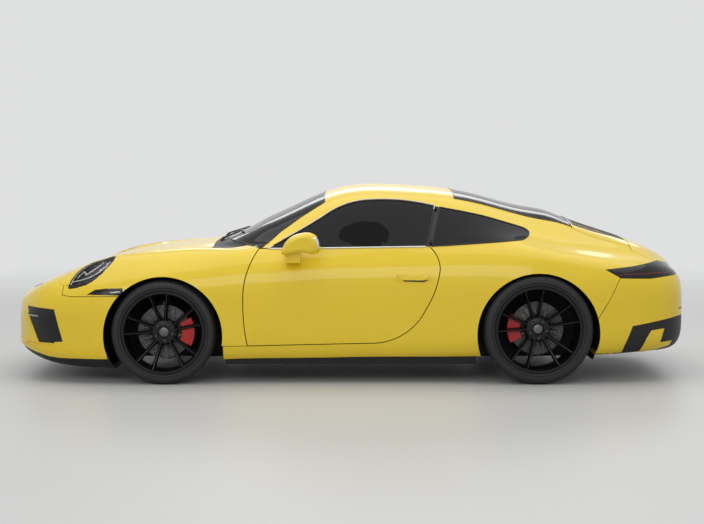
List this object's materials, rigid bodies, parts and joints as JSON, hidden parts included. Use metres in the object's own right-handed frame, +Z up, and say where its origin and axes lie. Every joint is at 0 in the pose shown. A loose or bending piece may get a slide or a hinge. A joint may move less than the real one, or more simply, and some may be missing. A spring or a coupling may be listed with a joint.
{
  "type": "two-door sports coupe car",
  "caption": "Low rear-engined two-door coupe that rolls and steers, with opening doors, front lid and engine lid, on low-profile tyres.",
  "frame": {"origin": "on the ground under the middle of the car's length and width", "axes": "+X to the nose, +Y to the driver's left, +Z up"},
  "size_m": [4.519, 2.028, 1.2993],
  "materials": {
    "body_paint": "gloss two-layer paint",
    "black_trim": "fine-grained satin moulding",
    "underbody": "dull",
    "glazing": "lightly tinted",
    "lamp_clear": "clear",
    "lamp_red": "gloss smoked red",
    "wheel_black": "satin-gloss",
    "disc_iron": "turned",
    "caliper_red": "gloss",
    "tyre_rubber": "matt",
    "bare_metal": "cast",
    "exhaust_steel": "brushed",
    "trim_leather": "grained",
    "cabin_plastic": "grained"
  },
  "bodies": {
    "root": {"cowl_panel": "black_trim", "dashboard": "cabin_plastic", "engine": "bare_metal", "exhaust": "exhaust_steel", "floor_pan": "underbody", "front_bumper": "body_paint", "front_fender_left": "body_paint", "front_fender_right": "body_paint", "front_grilles": "black_trim", "front_seats": "trim_leather", "front_structure": "underbody", "front_suspension": "bare_metal", "headlamps": "lamp_clear", "quarter_windows": "glazing", "rear_bumper": "body_paint", "rear_calipers": "caliper_red", "rear_diffuser": "black_trim", "rear_seats": "trim_leather", "rear_structure": "underbody", "rear_suspension": "bare_metal", "rear_window": "glazing", "roof_panel": "body_paint", "side_frame_left": "body_paint", "side_frame_right": "body_paint", "steering_wheel": "trim_leather", "tail_lamp": "lamp_red", "tail_spoiler": "body_paint", "wheel_liners": "underbody", "windscreen": "glazing"},
    "door_left": {"door_left": "body_paint", "door_glass_left": "glazing", "mirror_left": "body_paint"},
    "door_right": {"door_right": "body_paint", "door_glass_right": "glazing", "mirror_right": "body_paint"},
    "hood": {"hood": "body_paint"},
    "engine_lid": {"engine_lid": "body_paint"},
    "knuckle_left": {"front_knuckle_left": "bare_metal", "front_caliper_left": "caliper_red"},
    "knuckle_right": {"front_knuckle_right": "bare_metal", "front_caliper_right": "caliper_red"},
    "wheel_front_left": {"tyre_front_left": "tyre_rubber", "rim_front_left": "wheel_black", "disc_front_left": "disc_iron"},
    "wheel_front_right": {"tyre_front_right": "tyre_rubber", "rim_front_right": "wheel_black", "disc_front_right": "disc_iron"},
    "wheel_rear_left": {"tyre_rear_left": "tyre_rubber", "rim_rear_left": "wheel_black", "disc_rear_left": "disc_iron"},
    "wheel_rear_right": {"tyre_rear_right": "tyre_rubber", "rim_rear_right": "wheel_black", "disc_rear_right": "disc_iron"}
  },
  "joints": [
    {"name": "door_left_swing", "type": "hinge", "parent": "root", "child": "door_left", "pos_m": [0.648, 0.881, 0.55], "axis": [0, 0, -1], "range_deg": [0, 65]},
    {"name": "door_right_swing", "type": "hinge", "parent": "root", "child": "door_right", "pos_m": [0.648, -0.881, 0.55], "axis": [0, 0, 1], "range_deg": [0, 65]},
    {"name": "hood_lift", "type": "hinge", "parent": "root", "child": "hood", "pos_m": [0.945, 0, 0.935], "axis": [0, -1, 0], "range_deg": [0, 65]},
    {"name": "engine_lid_lift", "type": "hinge", "parent": "root", "child": "engine_lid", "pos_m": [-1.551, 0, 1.035], "axis": [0, 1, 0], "range_deg": [0, 55]},
    {"name": "steer_left", "type": "hinge", "parent": "root", "child": "knuckle_left", "pos_m": [1.222, 0.7275, 0.34], "axis": [0, 0, 1], "range_deg": [-35, 35]},
    {"name": "steer_right", "type": "hinge", "parent": "root", "child": "knuckle_right", "pos_m": [1.222, -0.7275, 0.34], "axis": [0, 0, 1], "range_deg": [-35, 35]},
    {"name": "wheel_front_left_spin", "type": "hinge", "parent": "knuckle_left", "child": "wheel_front_left", "pos_m": [1.222, 0.787, 0.34], "axis": [0, 1, 0], "continuous": true},
    {"name": "wheel_front_right_spin", "type": "hinge", "parent": "knuckle_right", "child": "wheel_front_right", "pos_m": [1.222, -0.787, 0.34], "axis": [0, 1, 0], "continuous": true},
    {"name": "wheel_rear_left_spin", "type": "hinge", "parent": "root", "child": "wheel_rear_left", "pos_m": [-1.228, 0.77, 0.358], "axis": [0, 1, 0], "continuous": true},
    {"name": "wheel_rear_right_spin", "type": "hinge", "parent": "root", "child": "wheel_rear_right", "pos_m": [-1.228, -0.77, 0.358], "axis": [0, 1, 0], "continuous": true}
  ],
  "couplings": [
    {"joint": "steer_right", "follows": "steer_left", "ratio": 1}
  ]
}
